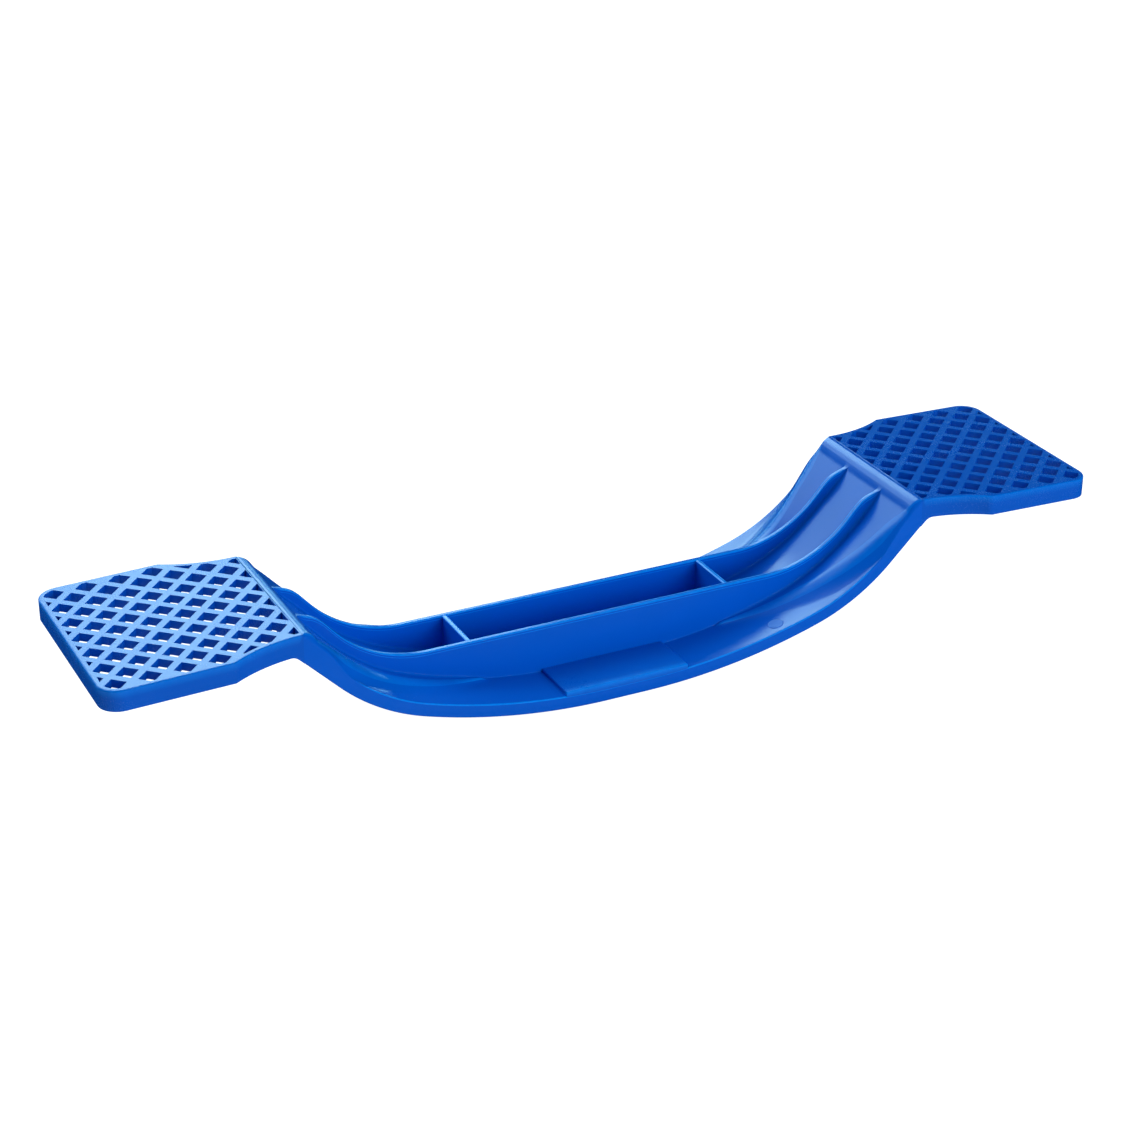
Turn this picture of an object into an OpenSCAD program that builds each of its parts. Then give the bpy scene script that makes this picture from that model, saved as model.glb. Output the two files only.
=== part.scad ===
// Rocking balance board: two lattice footplates joined by a curved, ribbed beam.
// Frame: X runs along the board, Y across it and Z up. The origin is on the floor under the middle.
// The board is one moulding. Its nodes are its walls, cut face to face where one wall meets the next.

/* [Overall] */
// Length over both footplates, mm
overall_length = 760; // [680:10:860]
// Width of a footplate, mm
plate_width = 160; // [144:2:184]
// Width of the curved beam, mm
beam_width = 131; // [120:1:138]

/* [Rocker curve] */
// Half of the flat length under the middle, mm
rest_half_length = 15; // [8:1:24]
// Radius of the long rocking curve, mm
rocker_radius = 465; // [420:5:520]
// Slope where the rocking curve hands over to the tighter curve, degrees
rocker_angle = 17.5; // [16:0.5:19]
// Radius of the tighter curve at each end, mm
upsweep_radius = 150; // [130:5:170]
// Slope of the straight run up to a footplate, degrees
upsweep_angle = 45; // [42:1:47]
// Height of the edge band that carries the rocking curve, mm
band_height = 10; // [8:0.5:12]
// Thickness of the edge band across the board, mm
band_thickness = 4; // [3:0.5:5]
// Thickness of the floors and flanges, mm
skin_thickness = 3; // [2.5:0.5:4]

/* [Channels and ribs] */
// Clear width between the two long ribs, mm
channel_width = 41; // [36:1:46]
// Thickness of a long rib, mm
rib_thickness = 4.5; // [3.5:0.5:6]
// Height of a rib's level top above the channel floor, mm
rib_height = 36; // [30:1:38]
// Half length of a rib's level top, mm
rib_level_half = 135; // [126:1:140]
// Radius of the curve that lifts a rib towards its footplate, mm
rib_lift_radius = 90; // [75:5:100]
// Height of the channel floor above the flange at mid length, mm
floor_rise = 1.5; // [1:0.5:2.5]
// Slope at which the channel floor leaves the rocking curve, degrees
floor_angle = 14.5; // [13.5:0.5:15.5]
// Radius of the channel floor's upsweep, mm
floor_radius = 160; // [150:5:170]
// Distance of each cross wall from mid length, mm
cross_wall_position = 102.7; // [90:0.1:112]
// Thickness of a cross wall, mm
cross_wall_thickness = 4; // [3:0.5:5]

/* [Steps and pads] */
// Distance from mid length to where a step leaves the rib, mm
step_start = 93; // [88:1:98]
// Distance from mid length to the bend in a step, mm
step_bend = 112; // [106:1:118]
// Distance of the bend from the board's centre line, mm
step_bend_offset = 34.5; // [32:0.5:37]
// Distance from mid length to where a step reaches the edge band, mm
step_finish = 228; // [222:1:230]
// Length of the raised pad in the middle of a flange, mm
pad_length = 96; // [80:2:110]
// Height of the pad above the flange at mid length, mm
pad_height = 4.4; // [3.5:0.1:5.5]
// Width of the proud strip along a pad's outer edge, mm
pad_strip_width = 5; // [4:0.5:7]
// How far the strip stands above the rest of the pad, mm
pad_strip_rise = 0.8; // [0.5:0.1:1.2]

/* [Footplates] */
// Distance from mid length to the outer face of a collar, mm
collar_position = 240; // [232:1:248]
// Thickness of a collar along the board, mm
collar_thickness = 8; // [7:0.5:10]
// Height of a collar's top above the end of the rocker curve, mm
collar_height = 21.4; // [20:0.2:24]
// Fall of a footplate from its collar outwards, degrees
plate_fall = 1.55; // [0:0.05:2.5]
// Depth of a footplate's rim wall, mm
rim_depth = 15; // [12:0.5:18]
// Thickness of a footplate's rim wall, mm
rim_thickness = 3.6; // [3:0.1:4.5]
// Corner radius at the outer end of a footplate, mm
corner_radius = 12; // [8:1:16]
// Distance from mid length to where a footplate reaches its full width, mm
shoulder_position = 292; // [284:1:300]

/* [Lattice] */
// Corner to corner pitch of the diamond cells, mm
cell_pitch = 23.4; // [22:0.2:26]
// Width of a lattice bar, mm
bar_width = 5.2; // [4:0.2:6]
// Depth of the lattice bars, mm
bar_depth = 6; // [4:0.5:8]
// Distance from the outer end to the first whole column of cells, mm
cell_margin = 11; // [10.6:0.1:12]
// Radius cleared at each outer corner of the lattice, so that no sliver is left there, mm
corner_relief = 5; // [4.8:0.1:6]

/* [Hidden] */
$fn = 96;
board_blue = [0.02, 0.27, 0.72];
arc_steps = 14;
tall = 300;

half_length = overall_length / 2;
half_plate = plate_width / 2;
half_beam = beam_width / 2;
band_inner = half_beam - band_thickness;
rib_inner = channel_width / 2;
rib_outer = rib_inner + rib_thickness;
collar_inner = collar_position - collar_thickness;
cross_inner = cross_wall_position - cross_wall_thickness / 2;
cross_outer = cross_wall_position + cross_wall_thickness / 2;
flange_level = band_height;
floor_level = flange_level + floor_rise;
rib_level = floor_level + rib_height;
pad_level = flange_level + pad_height;
pad_half = pad_length / 2;

// A sagging curve's points [x, z], given by its centre, radius and first and last slope.
function sag_arc(cx, cz, r, a0, a1) = [
    for (i = [0 : arc_steps])
        let (a = a0 + (a1 - a0) * i / arc_steps)
        [cx + r * sin(a), cz - r * cos(a)]
];

// Half of a sagging line: level, a long arc, a tighter arc, then straight up to x_end.
function sag_line(z0, r1, a1, r2, a2, x_end) =
    let (
        x1 = rest_half_length + r1 * sin(a1),
        z1 = z0 + r1 * (1 - cos(a1)),
        cx = x1 - r2 * sin(a1),
        cz = z1 + r2 * cos(a1),
        x2 = cx + r2 * sin(a2),
        z2 = cz - r2 * cos(a2)
    )
    concat(
        sag_arc(rest_half_length, z0 + r1, r1, 0, a1),
        sag_arc(cx, cz, r2, a1, a2),
        [[x_end, z2 + (x_end - x2) * tan(a2)]]
    );

// A line parallel to the rocker curve, a given distance above it.
function rocker_line(rise) = sag_line(
    rise, rocker_radius - rise, rocker_angle,
    upsweep_radius - rise, upsweep_angle, collar_position
);

// A line parallel to the channel floor, a given distance above its top face.
function floor_line(rise) = sag_line(
    floor_level + rise, rocker_radius - floor_level - rise, floor_angle,
    floor_radius - rise, upsweep_angle, collar_position
);

function last(points) = points[len(points) - 1];
function backwards(points) = [for (i = [len(points) - 1 : -1 : 0]) points[i]];
function both_ways(points) = concat(
    [for (p = backwards(points)) [-p[0], p[1]]],
    points
);

rocker = rocker_line(0);
flange_under = rocker_line(band_height - skin_thickness);
flange_top = rocker_line(band_height);
floor_under = floor_line(-skin_thickness);
floor_top = floor_line(0);

collar_foot = last(rocker)[1];
collar_top = collar_foot + collar_height;

// The rib's top: level, a lifting arc, a straight climb to the shoulder, then a gentle run to the collar.
rib_shoulder = [collar_inner - 17, collar_top - 12];
rib_finish = [collar_inner, collar_top - 6.5];
lift_centre = [rib_level_half, rib_level + rib_lift_radius];
lift_reach = norm(rib_shoulder - lift_centre);
lift_bearing = atan2(rib_shoulder[1] - lift_centre[1], rib_shoulder[0] - lift_centre[0]);
lift_angle = 90 + lift_bearing - acos(rib_lift_radius / lift_reach);
shoulder_ease = 4;
climb_step = shoulder_ease * [cos(lift_angle), sin(lift_angle)];
finish_run = rib_finish - rib_shoulder;
finish_step = shoulder_ease * finish_run / norm(finish_run);
rib_top = concat(
    sag_arc(lift_centre[0], lift_centre[1], rib_lift_radius, 0, lift_angle),
    [
        rib_shoulder - climb_step,
        rib_shoulder + (finish_step - climb_step) / 4,
        rib_shoulder + finish_step,
        rib_finish
    ]
);

// A step's outer line in plan, and the same line one wall thickness inboard.
step_slope = (half_beam - step_bend_offset) / (step_finish - step_bend);
step_wall_y = skin_thickness / cos(atan(step_slope));
step_edge_x = step_bend + (band_inner - step_bend_offset) / step_slope;
step_inner_x = step_bend + (band_inner + step_wall_y - step_bend_offset) / step_slope;
step_start_inner_x = step_bend
    - (step_bend_offset - step_wall_y - rib_outer)
    * (step_bend - step_start) / (step_bend_offset - rib_outer);
step_outer_line = [
    [step_start, rib_outer],
    [step_bend, step_bend_offset],
    [step_edge_x, band_inner]
];
step_inner_line = [
    [step_start_inner_x, rib_outer],
    [step_bend, step_bend_offset - step_wall_y],
    [step_inner_x, band_inner]
];

// The fillet of plan outline that narrows a footplate to the beam.
neck_run = shoulder_position - collar_position;
neck_rise = half_plate - half_beam;
neck_radius = (neck_run * neck_run + neck_rise * neck_rise) / (2 * neck_rise);

cell_half = cell_pitch / 2;
cell_side = cell_pitch / sqrt(2) - bar_width;
cell_columns = ceil((half_length - collar_position) / cell_half) + 1;
cell_rows = ceil(half_plate / cell_half) + 1;

// Which node to draw

// Draws the right rear quarter's shape on the chosen side and edge of the board.
module placed(left = false, front = false) {
    mirror([left ? 1 : 0, 0, 0])
        mirror([0, front ? 1 : 0, 0])
            children();
}

// A slab between two lines in side view, from y0 to y1 across the board.
module slab(lower, upper, y0, y1) {
    translate([0, y1, 0])
        rotate([90, 0, 0])
            linear_extrude(height = y1 - y0)
                polygon(concat(lower, backwards(upper)));
}

// Keeps the part of its children between two distances along the board.
module between_x(x0, x1) {
    intersection() {
        children();
        translate([x0, -half_plate, -1])
            cube([x1 - x0, plate_width, tall]);
    }
}

// Keeps the part of its children over a plan outline.
module over_plan(points) {
    intersection() {
        children();
        translate([0, 0, -1])
            linear_extrude(height = tall)
                polygon(points);
    }
}

// A footplate's plan outline, drawn in by the given inset.
module plate_plan(inset = 0) {
    corner = corner_radius - inset;
    reach = half_length - corner_radius;
    side = half_plate - inset;
    difference() {
        union() {
            translate([collar_position, -side])
                square([reach - collar_position, 2 * side]);
            translate([reach, -side + corner])
                square([corner, 2 * (side - corner)]);
            for (turn = [-1, 1])
                translate([reach, turn * (side - corner)])
                    circle(r = corner);
        }
        for (turn = [-1, 1])
            translate([collar_position, turn * (half_beam + neck_radius)])
                circle(r = neck_radius + inset);
    }
}

// The layer of a footplate between two depths under its falling top face.
module plate_layer(top_depth, under_depth) {
    fall = tan(plate_fall) * (half_length - collar_position);
    slab(
        [[collar_position, collar_top - under_depth], [half_length, collar_top - fall - under_depth]],
        [[collar_position, collar_top - top_depth], [half_length, collar_top - fall - top_depth]],
        -half_plate, half_plate
    );
}

module lattice_shape() {
    intersection() {
        plate_layer(0, bar_depth);
        linear_extrude(height = tall)
            difference() {
                plate_plan(rim_thickness);
                for (turn = [-1, 1])
                    translate([half_length - rim_thickness, turn * (half_plate - rim_thickness)])
                        circle(r = corner_relief);
                for (i = [0 : cell_columns], j = [-cell_rows : cell_rows])
                    if ((i + j) % 2 != 0)
                        translate([half_length - cell_margin - (i - 1) * cell_half, j * cell_half])
                            rotate(45)
                                square(cell_side, center = true);
            }
    }
}

module rim_shape() {
    intersection() {
        plate_layer(0, rim_depth);
        linear_extrude(height = tall)
            difference() {
                plate_plan();
                plate_plan(rim_thickness);
            }
    }
}

module rim_end_shape() {
    between_x(half_length - corner_radius, half_length)
        rim_shape();
}

module rim_side_shape() {
    intersection() {
        rim_shape();
        translate([collar_position, 0, 0])
            cube([half_length - corner_radius - collar_position, half_plate, tall]);
    }
}

module collar_shape() {
    bead = collar_thickness / 2;
    translate([0, half_beam, 0])
        rotate([90, 0, 0])
            linear_extrude(height = beam_width)
                union() {
                    polygon([
                        [collar_inner, collar_foot - collar_thickness * tan(upsweep_angle)],
                        [collar_position, collar_foot],
                        [collar_position, collar_top],
                        [collar_inner + bead, collar_top],
                        [collar_inner, collar_top - bead]
                    ]);
                    translate([collar_inner + bead, collar_top - bead])
                        circle(r = bead);
                }
}

module end_floor_shape() {
    between_x(cross_inner, collar_inner)
        slab(floor_under, floor_top, -rib_inner, rib_inner);
}

module deck_shape() {
    over_plan(concat(step_inner_line, [[collar_inner, band_inner], [collar_inner, rib_outer]]))
        slab(floor_under, floor_top, rib_outer, band_inner);
}

module step_shape() {
    over_plan(concat(step_outer_line, backwards(step_inner_line)))
        slab(flange_under, floor_top, rib_outer, band_inner);
}

module end_rib_shape() {
    between_x(cross_outer, collar_inner)
        slab(floor_under, rib_top, rib_inner, rib_outer);
}

module middle_rib_shape() {
    between_x(-cross_outer, cross_outer)
        slab(both_ways(flange_under), both_ways(rib_top), rib_inner, rib_outer);
}

module cross_wall_shape() {
    intersection() {
        translate([cross_inner, -rib_inner, 0])
            cube([cross_wall_thickness, channel_width, rib_level]);
        slab(floor_top, [[rest_half_length, tall], [collar_position, tall]], -rib_inner, rib_inner);
    }
}

module end_flange_shape() {
    over_plan(concat([[pad_half, rib_outer]], step_outer_line, [[pad_half, band_inner]]))
        slab(flange_under, flange_top, rib_outer, band_inner);
}

module middle_flange_shape() {
    between_x(-pad_half, pad_half)
        slab(both_ways(flange_under), both_ways(flange_top), rib_outer, band_inner);
}

// Beyond the step, the band's outer face carries on up to the channel floor's level.
module end_band_shape() {
    between_x(pad_half, collar_inner) {
        slab(rocker, flange_top, band_inner, half_beam);
        over_plan([
            [step_edge_x, band_inner],
            [step_finish, half_beam],
            [collar_inner, half_beam],
            [collar_inner, band_inner]
        ])
            slab(rocker, floor_top, band_inner, half_beam);
    }
}

module middle_band_shape() {
    between_x(-pad_half, pad_half)
        slab(both_ways(rocker), both_ways(flange_top), band_inner, half_beam);
}

module pad_shape() {
    strip_inner = half_beam - pad_strip_width;
    intersection() {
        union() {
            translate([-pad_half, rib_outer, 0])
                cube([pad_length, strip_inner - rib_outer, pad_level - pad_strip_rise]);
            translate([-pad_half, strip_inner, 0])
                cube([pad_length, pad_strip_width, pad_level]);
        }
        slab(
            both_ways(flange_top),
            [[-collar_position, tall], [collar_position, tall]],
            rib_outer, half_beam
        );
    }
}

module left_lattice() { color(board_blue) placed(left = true) lattice_shape(); }
module right_lattice() { color(board_blue) placed() lattice_shape(); }
module left_rim_end() { color(board_blue) placed(left = true) rim_end_shape(); }
module right_rim_end() { color(board_blue) placed() rim_end_shape(); }
module left_rim_front() { color(board_blue) placed(left = true, front = true) rim_side_shape(); }
module left_rim_rear() { color(board_blue) placed(left = true) rim_side_shape(); }
module right_rim_front() { color(board_blue) placed(front = true) rim_side_shape(); }
module right_rim_rear() { color(board_blue) placed() rim_side_shape(); }
module left_collar() { color(board_blue) placed(left = true) collar_shape(); }
module right_collar() { color(board_blue) placed() collar_shape(); }
module left_channel_floor() { color(board_blue) placed(left = true) end_floor_shape(); }
module right_channel_floor() { color(board_blue) placed() end_floor_shape(); }

module middle_channel_floor() {
    color(board_blue)
        between_x(-cross_inner, cross_inner)
            slab(both_ways(floor_under), both_ways(floor_top), -rib_inner, rib_inner);
}

module left_front_deck() { color(board_blue) placed(left = true, front = true) deck_shape(); }
module left_rear_deck() { color(board_blue) placed(left = true) deck_shape(); }
module right_front_deck() { color(board_blue) placed(front = true) deck_shape(); }
module right_rear_deck() { color(board_blue) placed() deck_shape(); }
module left_front_step() { color(board_blue) placed(left = true, front = true) step_shape(); }
module left_rear_step() { color(board_blue) placed(left = true) step_shape(); }
module right_front_step() { color(board_blue) placed(front = true) step_shape(); }
module right_rear_step() { color(board_blue) placed() step_shape(); }
module left_cross_wall() { color(board_blue) placed(left = true) cross_wall_shape(); }
module right_cross_wall() { color(board_blue) placed() cross_wall_shape(); }
module left_front_rib() { color(board_blue) placed(left = true, front = true) end_rib_shape(); }
module middle_front_rib() { color(board_blue) placed(front = true) middle_rib_shape(); }
module right_front_rib() { color(board_blue) placed(front = true) end_rib_shape(); }
module left_rear_rib() { color(board_blue) placed(left = true) end_rib_shape(); }
module middle_rear_rib() { color(board_blue) placed() middle_rib_shape(); }
module right_rear_rib() { color(board_blue) placed() end_rib_shape(); }
module left_front_flange() { color(board_blue) placed(left = true, front = true) end_flange_shape(); }
module middle_front_flange() { color(board_blue) placed(front = true) middle_flange_shape(); }
module right_front_flange() { color(board_blue) placed(front = true) end_flange_shape(); }
module left_rear_flange() { color(board_blue) placed(left = true) end_flange_shape(); }
module middle_rear_flange() { color(board_blue) placed() middle_flange_shape(); }
module right_rear_flange() { color(board_blue) placed() end_flange_shape(); }
module left_front_band() { color(board_blue) placed(left = true, front = true) end_band_shape(); }
module middle_front_band() { color(board_blue) placed(front = true) middle_band_shape(); }
module right_front_band() { color(board_blue) placed(front = true) end_band_shape(); }
module left_rear_band() { color(board_blue) placed(left = true) end_band_shape(); }
module middle_rear_band() { color(board_blue) placed() middle_band_shape(); }
module right_rear_band() { color(board_blue) placed() end_band_shape(); }
module front_pad() { color(board_blue) placed(front = true) pad_shape(); }
module rear_pad() { color(board_blue) placed() pad_shape(); }

left_lattice();
right_lattice();
left_rim_end();
right_rim_end();
left_rim_front();
left_rim_rear();
right_rim_front();
right_rim_rear();
left_collar();
right_collar();
left_channel_floor();
middle_channel_floor();
right_channel_floor();
left_front_deck();
left_rear_deck();
right_front_deck();
right_rear_deck();
left_front_step();
left_rear_step();
right_front_step();
right_rear_step();
left_cross_wall();
right_cross_wall();
left_front_rib();
middle_front_rib();
right_front_rib();
left_rear_rib();
middle_rear_rib();
right_rear_rib();
left_front_flange();
middle_front_flange();
right_front_flange();
left_rear_flange();
middle_rear_flange();
right_rear_flange();
left_front_band();
middle_front_band();
right_front_band();
left_rear_band();
middle_rear_band();
right_rear_band();
front_pad();
rear_pad();
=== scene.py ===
# %% [markdown]
# A rocking balance board for a child: two lattice footplates held up by a curved, ribbed beam.
# On the real object it is all one injection moulding in blue plastic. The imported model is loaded
# first, as a fixed frame. Everything made below is placed from it, in metres, with +Z up.

# %% Load the frame
import math

import bmesh
import bpy
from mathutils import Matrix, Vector


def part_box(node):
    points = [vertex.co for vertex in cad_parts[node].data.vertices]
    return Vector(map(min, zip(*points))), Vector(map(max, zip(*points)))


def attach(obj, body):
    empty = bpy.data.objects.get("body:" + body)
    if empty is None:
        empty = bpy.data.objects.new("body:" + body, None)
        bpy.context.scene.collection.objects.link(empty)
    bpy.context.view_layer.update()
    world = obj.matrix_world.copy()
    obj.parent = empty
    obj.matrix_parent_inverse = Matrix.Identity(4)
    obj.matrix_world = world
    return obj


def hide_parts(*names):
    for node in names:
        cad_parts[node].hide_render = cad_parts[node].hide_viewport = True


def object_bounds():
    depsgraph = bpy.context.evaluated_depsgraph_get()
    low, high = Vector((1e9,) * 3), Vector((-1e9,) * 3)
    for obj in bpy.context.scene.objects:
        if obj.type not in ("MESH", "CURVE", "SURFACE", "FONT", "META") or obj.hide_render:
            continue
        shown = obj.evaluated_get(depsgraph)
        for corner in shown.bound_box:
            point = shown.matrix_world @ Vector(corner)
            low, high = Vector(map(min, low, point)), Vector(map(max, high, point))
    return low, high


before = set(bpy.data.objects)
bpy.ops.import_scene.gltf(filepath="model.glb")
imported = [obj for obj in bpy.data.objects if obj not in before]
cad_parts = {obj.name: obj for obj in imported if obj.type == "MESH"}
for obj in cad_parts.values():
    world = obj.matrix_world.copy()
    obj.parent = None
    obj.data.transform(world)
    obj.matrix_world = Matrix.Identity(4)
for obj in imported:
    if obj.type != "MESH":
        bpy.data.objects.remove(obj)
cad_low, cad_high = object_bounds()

print("frame nodes:", len(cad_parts))

# %% [markdown]
# The maker's sizes are easiest to read in millimetres, so shapes are worked out in millimetres and
# scaled to metres once, when a mesh is finished. The half sizes come from the frame's own boxes.

# %% Sizes from the frame
MM = 0.001
HALF_LENGTH = cad_high.x / MM
HALF_PLATE = cad_high.y / MM
PLATE_TOP = cad_high.z / MM
rib_low, rib_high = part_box("middle_rear_rib")
RIB_INNER, RIB_OUTER = rib_low.y / MM, rib_high.y / MM
RIB_LEVEL = rib_high.z / MM
band_low, band_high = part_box("right_rear_band")
BAND_INNER, HALF_BEAM = band_low.y / MM, band_high.y / MM
collar_low, collar_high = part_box("right_collar")
COLLAR_INNER, COLLAR_OUTER = collar_low.x / MM, collar_high.x / MM
print("half length", HALF_LENGTH, "half beam", HALF_BEAM, "collar", COLLAR_INNER, COLLAR_OUTER)


# %% [markdown]
# Every piece ends the same way: the bmesh is scaled to metres, its doubles are merged, its faces
# are turned outwards and shaded smooth, and edges sharper than a limit are kept crisp. A Weighted
# Normal modifier then lets the large flat faces set the shading, so the small roundings between
# them catch the light as thin lines, as they do on moulded plastic.

# %% Finish a piece
def finish_piece(name, bm, material, nodes=(), sharp_degrees=38.0):
    bmesh.ops.scale(bm, vec=(MM, MM, MM), verts=bm.verts)
    bmesh.ops.remove_doubles(bm, verts=bm.verts, dist=1e-6)
    bmesh.ops.dissolve_degenerate(bm, edges=bm.edges, dist=1e-7)
    bmesh.ops.recalc_face_normals(bm, faces=bm.faces)
    for face in bm.faces:
        face.smooth = True
    mesh = bpy.data.meshes.new(name)
    bm.to_mesh(mesh)
    bm.free()
    mesh.set_sharp_from_angle(angle=math.radians(sharp_degrees))
    piece = bpy.data.objects.new(name, mesh)
    bpy.context.scene.collection.objects.link(piece)
    weighted = piece.modifiers.new("weighted", "WEIGHTED_NORMAL")
    weighted.keep_sharp = True
    mesh.materials.append(material)
    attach(piece, "root")
    if nodes:
        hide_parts(*nodes)
    print(name, "faces", len(mesh.polygons))
    return piece


print("one metre is", round(1 / MM), "mm")

# %% [markdown]
# The plastic. Three effects are shared by every blue surface, so each is a node group: a fine
# moulded grain that lifts the surface by a few hundredths of a millimetre, slow cloudy patches
# where the plastic flowed and cooled unevenly, and painted highlights: thin paler lines along
# edges that stand in for light catching them, broken up by noise. How strong an edge's painted
# highlight is comes from a number kept on the mesh's points, which each piece fills in as it is
# made. The groups put out plain values, and the shader itself stays in the material.

# %% Node group helpers
def new_group(name, inputs, outputs):
    group = bpy.data.node_groups.new(name, "ShaderNodeTree")
    for label, kind, value in inputs:
        socket = group.interface.new_socket(label, in_out="INPUT", socket_type=kind)
        if value is not None:
            socket.default_value = value
    for label, kind in outputs:
        group.interface.new_socket(label, in_out="OUTPUT", socket_type=kind)
    return group, group.nodes.new("NodeGroupInput"), group.nodes.new("NodeGroupOutput")


def add_node(tree, kind, settings=(), **values):
    node = tree.nodes.new(kind)
    for name, value in settings:
        setattr(node, name, value)
    for name, value in values.items():
        node.inputs[name.replace("_", " ")].default_value = value
    return node


def math_node(tree, operation, first, second):
    node = tree.nodes.new("ShaderNodeMath")
    node.operation = operation
    for socket, value in zip(node.inputs, (first, second)):
        if isinstance(value, (int, float)):
            socket.default_value = value
        else:
            tree.links.new(value, socket)
    return node.outputs["Value"]


# A Mix node set to colours keeps its two colours and its result at these places.
MIX_FIRST, MIX_SECOND, MIX_RESULT = 6, 7, 2
print("node helpers ready")


# %% Moulded grain
def make_grain_group():
    group, inside, outside = new_group(
        "moulded_grain",
        [("Scale", "NodeSocketFloat", 900.0), ("Depth", "NodeSocketFloat", 1.0)],
        [("Height", "NodeSocketFloat"), ("Value", "NodeSocketFloat")],
    )
    where = group.nodes.new("ShaderNodeTexCoord")
    fine = add_node(group, "ShaderNodeTexNoise", Detail=3.0, Roughness=0.6)
    group.links.new(where.outputs["Object"], fine.inputs["Vector"])
    group.links.new(inside.outputs["Scale"], fine.inputs["Scale"])
    height = math_node(group, "MULTIPLY", fine.outputs["Fac"], inside.outputs["Depth"])
    group.links.new(height, outside.inputs["Height"])
    group.links.new(fine.outputs["Fac"], outside.inputs["Value"])
    return group


GRAIN = make_grain_group()
print("group", GRAIN.name)


# %% Cloudy flow marks
def make_flow_group():
    group, inside, outside = new_group(
        "flow_marks",
        [("Stretch", "NodeSocketVector", (9.0, 26.0, 26.0)), ("Strength", "NodeSocketFloat", 1.0)],
        [("Value", "NodeSocketFloat"), ("Height", "NodeSocketFloat")],
    )
    where = group.nodes.new("ShaderNodeTexCoord")
    place = group.nodes.new("ShaderNodeMapping")
    cloud = add_node(group, "ShaderNodeTexNoise", Scale=1.0, Detail=4.0, Roughness=0.55, Distortion=0.6)
    group.links.new(where.outputs["Object"], place.inputs["Vector"])
    group.links.new(inside.outputs["Stretch"], place.inputs["Scale"])
    group.links.new(place.outputs["Vector"], cloud.inputs["Vector"])
    centred = math_node(group, "SUBTRACT", cloud.outputs["Fac"], 0.5)
    value = math_node(group, "MULTIPLY", centred, inside.outputs["Strength"])
    group.links.new(value, outside.inputs["Value"])
    group.links.new(cloud.outputs["Fac"], outside.inputs["Height"])
    return group


FLOW = make_flow_group()
print("group", FLOW.name)


# %% Painted edge highlights
def make_edge_highlight_group():
    group, inside, outside = new_group(
        "painted_edge_highlights",
        [("Amount", "NodeSocketFloat", 0.3)],
        [("Mask", "NodeSocketFloat")],
    )
    # Painted highlight: the number on each point says how much paler blue stands in for light on that edge.
    highlight_marks = add_node(group, "ShaderNodeAttribute", [("attribute_name", "edge_highlight")])
    where = group.nodes.new("ShaderNodeTexCoord")
    highlight_breaks = add_node(group, "ShaderNodeTexNoise", Scale=160.0, Detail=5.0, Roughness=0.7)
    group.links.new(where.outputs["Object"], highlight_breaks.inputs["Vector"])
    patchy = math_node(group, "ADD", math_node(group, "MULTIPLY", highlight_breaks.outputs["Fac"], 0.6), 0.3)
    broken = math_node(group, "MULTIPLY", highlight_marks.outputs["Fac"], patchy)
    mask = math_node(group, "MULTIPLY", broken, inside.outputs["Amount"])
    group.links.new(mask, outside.inputs["Mask"])
    return group


HIGHLIGHT_GROUP = make_edge_highlight_group()
print("group", HIGHLIGHT_GROUP.name)


# %% Blue plastic
BOARD_BLUE = (0.0, 0.104, 0.63)
PLATE_BLUE = (0.0, 0.095, 0.58)
PAD_BLUE = (0.0, 0.090, 0.58)
MARK_BLUE = (0.05, 0.20, 0.75)
# The paler blue painted on edges as a highlight, not a colour the plastic has.
HIGHLIGHT_BLUE = (0.0, 0.27, 1.0)
CLOUD_CONTRAST = 0.07


def make_plastic(name, blue, roughness, sheen_level, grain_scale, grain_depth, highlight):
    material = bpy.data.materials.new(name)
    material.use_nodes = True
    tree = material.node_tree
    shader = tree.nodes["Principled BSDF"]
    shader.inputs["IOR"].default_value = 1.49
    shader.inputs["Specular IOR Level"].default_value = sheen_level
    flow = tree.nodes.new("ShaderNodeGroup")
    flow.node_tree = FLOW
    grain = tree.nodes.new("ShaderNodeGroup")
    grain.node_tree = GRAIN
    grain.inputs["Scale"].default_value = grain_scale
    edges = tree.nodes.new("ShaderNodeGroup")
    edges.node_tree = HIGHLIGHT_GROUP
    edges.inputs["Amount"].default_value = highlight
    tint = add_node(tree, "ShaderNodeMix", [("data_type", "RGBA")])
    tint.inputs[MIX_FIRST].default_value = (*[c * (1 - CLOUD_CONTRAST) for c in blue], 1.0)
    tint.inputs[MIX_SECOND].default_value = (*[min(1.0, c * (1 + CLOUD_CONTRAST)) for c in blue], 1.0)
    lift = math_node(tree, "ADD", flow.outputs["Value"], 0.5)
    tree.links.new(lift, tint.inputs["Factor"])
    # Mixes the painted edge highlight into the blue.
    highlighted = add_node(tree, "ShaderNodeMix", [("data_type", "RGBA")])
    highlighted.inputs[MIX_SECOND].default_value = (*HIGHLIGHT_BLUE, 1.0)
    tree.links.new(tint.outputs[MIX_RESULT], highlighted.inputs[MIX_FIRST])
    tree.links.new(edges.outputs["Mask"], highlighted.inputs["Factor"])
    tree.links.new(highlighted.outputs[MIX_RESULT], shader.inputs["Base Color"])
    patch = math_node(tree, "MULTIPLY", flow.outputs["Value"], 0.12)
    speck = math_node(tree, "MULTIPLY", math_node(tree, "SUBTRACT", grain.outputs["Value"], 0.5), 0.1)
    rough = math_node(tree, "ADD", math_node(tree, "ADD", patch, speck), roughness)
    tree.links.new(rough, shader.inputs["Roughness"])
    bump = add_node(tree, "ShaderNodeBump", Strength=grain_depth, Distance=0.00006)
    tree.links.new(grain.outputs["Height"], bump.inputs["Height"])
    wave = add_node(tree, "ShaderNodeBump", Strength=0.25, Distance=0.0006)
    tree.links.new(flow.outputs["Height"], wave.inputs["Height"])
    tree.links.new(wave.outputs["Normal"], bump.inputs["Normal"])
    tree.links.new(bump.outputs["Normal"], shader.inputs["Normal"])
    return material


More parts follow.
